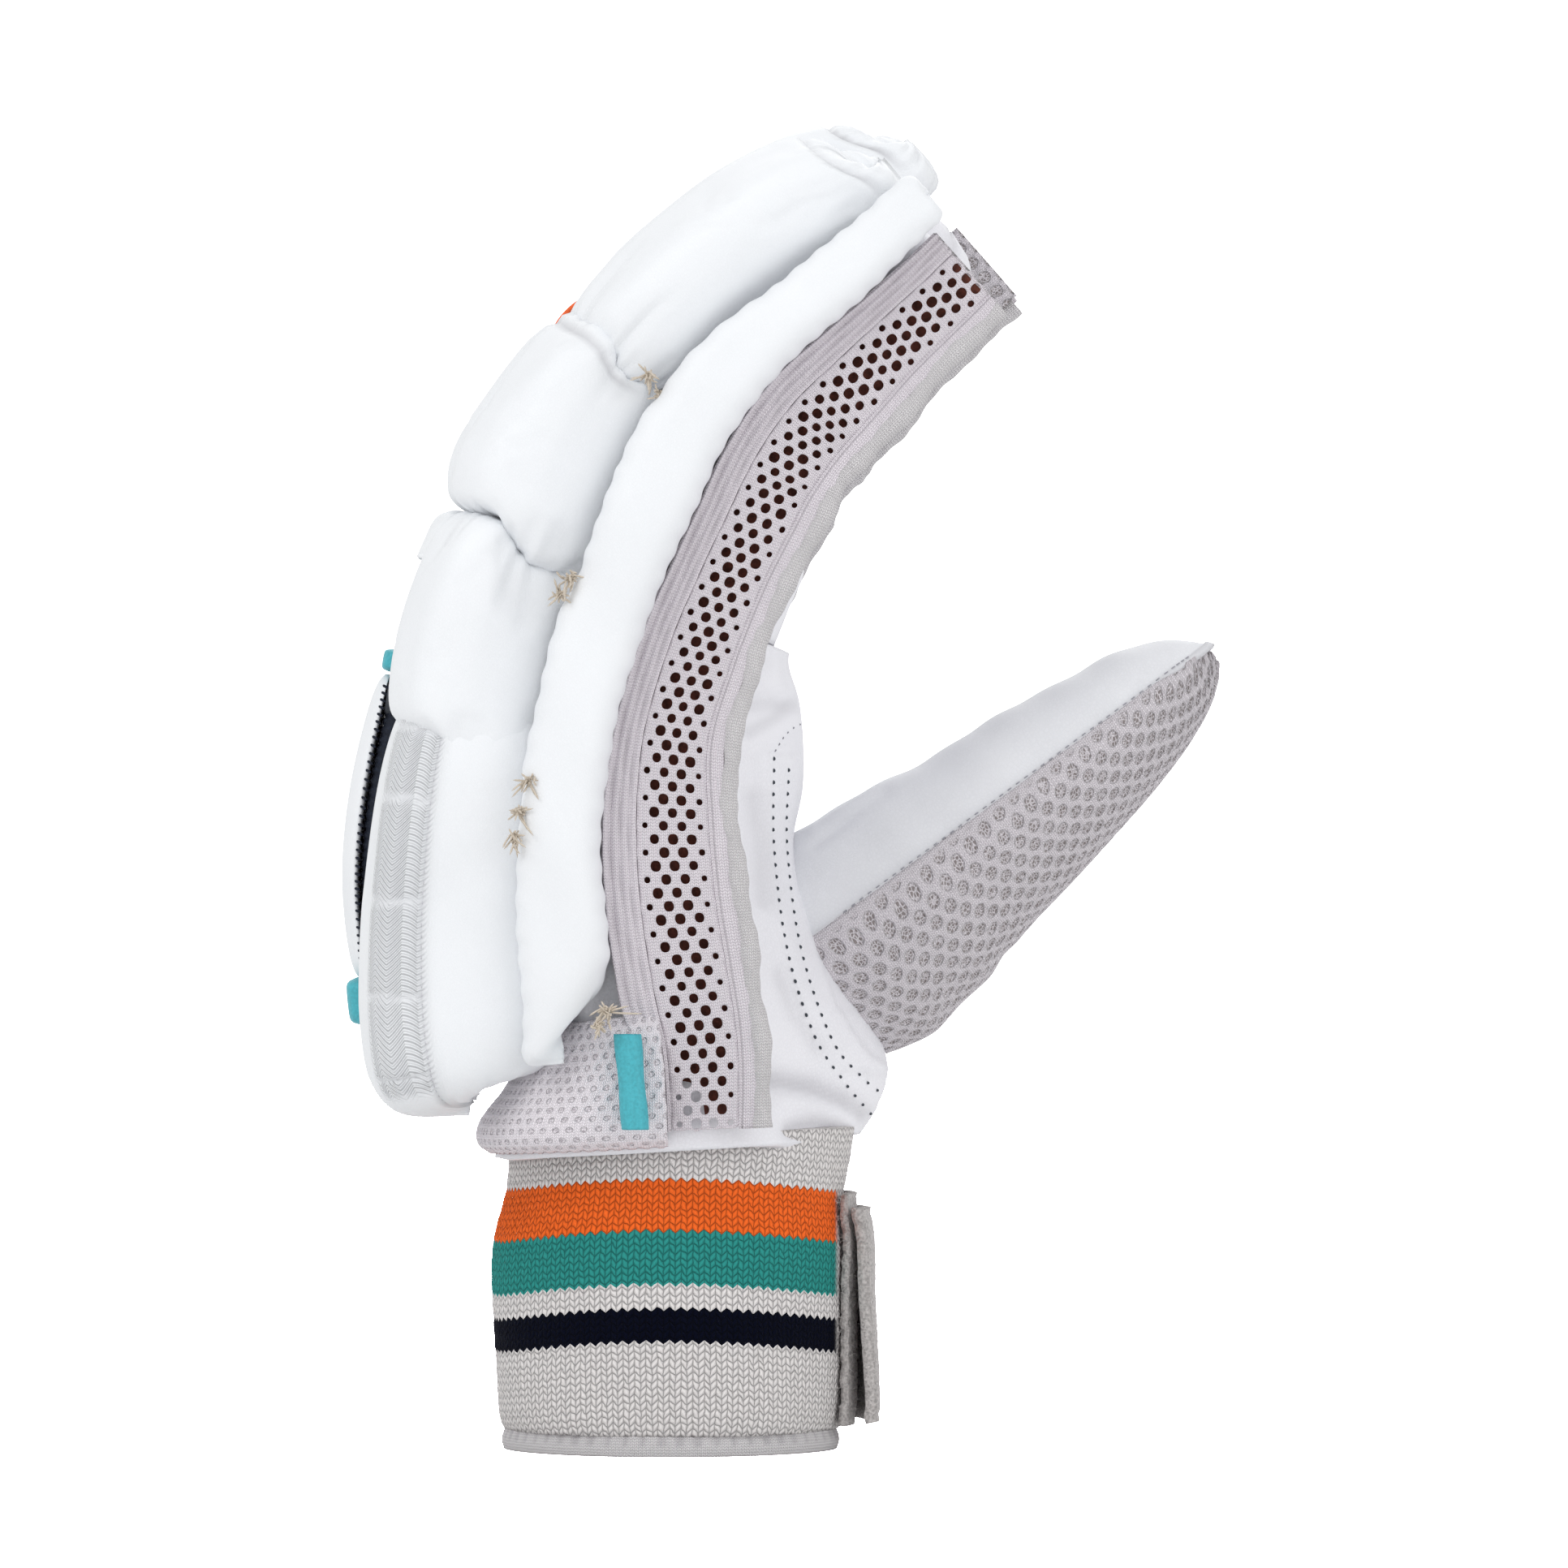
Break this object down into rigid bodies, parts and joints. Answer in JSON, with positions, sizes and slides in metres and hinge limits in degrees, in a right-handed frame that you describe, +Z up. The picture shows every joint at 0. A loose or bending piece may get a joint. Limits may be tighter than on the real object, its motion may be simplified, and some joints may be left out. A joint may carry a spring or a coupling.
{
  "type": "cricket batting glove",
  "caption": "right-hand cricket batting glove with padded finger rolls, a pierced side strip, a raised back panel, a mesh thumb and a striped knitted cuff with a closing tab",
  "frame": {"origin": "centre of the wrist opening at the lower edge of the cuff", "axes": "+Z up the glove from the cuff to the fingertips; +X the palm side; -X the back of the hand; -Y the little finger's side"},
  "size_m": [0.1811, 0.1072, 0.274],
  "materials": {
    "pad_leather": "smooth white leather over soft padding",
    "palm_leather": "soft white palm leather with fine grain and folds",
    "mesh": "pale lavender-white knitted mesh and spacer cloth",
    "knit": "coarse elastic knit with coloured stripes",
    "tape": "fuzzy grey-white fastening tape",
    "teal": "satin teal trim",
    "navy": "dark navy ribbed border",
    "orange": "bright orange patch"
  },
  "bodies": {
    "root": {"cuff": "knit", "cuff_hem": "mesh", "hook_strip": "tape", "strap_tab": "tape", "heel_mesh": "mesh", "tube_tag": "teal", "palm": "palm_leather", "stall_little": "palm_leather", "stall_ring": "palm_leather", "stall_middle": "palm_leather", "stall_index": "palm_leather", "thumb_leather": "palm_leather", "thumb_mesh": "mesh", "thumb_pad": "pad_leather", "side_mesh": "mesh", "side_mesh_hem": "mesh", "index_mesh": "mesh", "side_roll": "pad_leather", "pad_little_low": "pad_leather", "pad_little_mid": "pad_leather", "pad_little_tip": "pad_leather", "pad_ring_low": "pad_leather", "pad_ring_mid": "pad_leather", "pad_ring_tip": "pad_leather", "pad_middle_low": "pad_leather", "pad_middle_mid": "pad_leather", "pad_middle_tip": "pad_leather", "pad_index_low": "pad_leather", "pad_index_mid": "pad_leather", "pad_index_tip": "pad_leather", "back_pad_near": "pad_leather", "back_pad_middle": "pad_leather", "back_pad_far": "pad_leather", "back_panel": "pad_leather", "panel_border": "navy", "panel_trim_low": "teal", "panel_trim_top": "teal", "finger_patch": "orange"}
  },
  "joints": []
}
